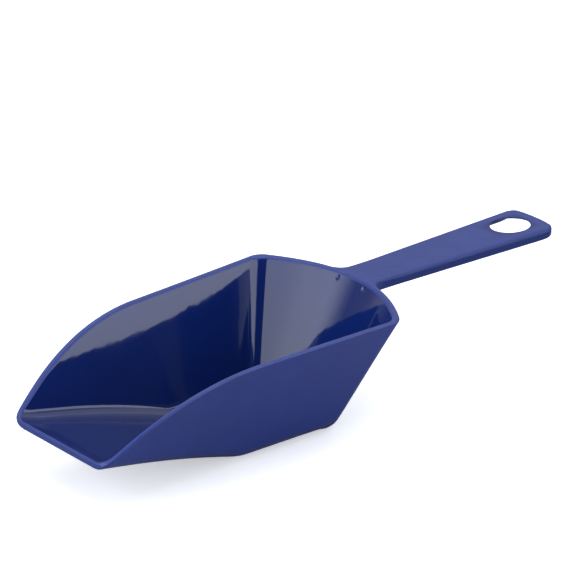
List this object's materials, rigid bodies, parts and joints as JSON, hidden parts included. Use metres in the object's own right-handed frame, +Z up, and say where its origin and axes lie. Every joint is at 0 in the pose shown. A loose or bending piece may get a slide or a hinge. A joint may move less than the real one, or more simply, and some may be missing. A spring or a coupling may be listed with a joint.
{
  "type": "feed scoop",
  "caption": "One-piece plastic feed scoop: sloping-nosed open bowl with a level rim and a short flat channel-section handle with an oval hanging hole.",
  "frame": {"origin": "centre of the bounding box in X and Y, on the flat base of the bowl in Z", "axes": "+X from the lip towards the handle's tip, +Y across the bowl, +Z up out of the bowl's open top; the Y = 0 plane is the plane of symmetry"},
  "size_m": [0.33, 0.1142, 0.0642],
  "materials": {
    "navy_polypropylene": "polished inside the bowl, satin outside and on the handle"
  },
  "bodies": {
    "root": {"scoop_moulding": "navy_polypropylene"}
  },
  "joints": []
}
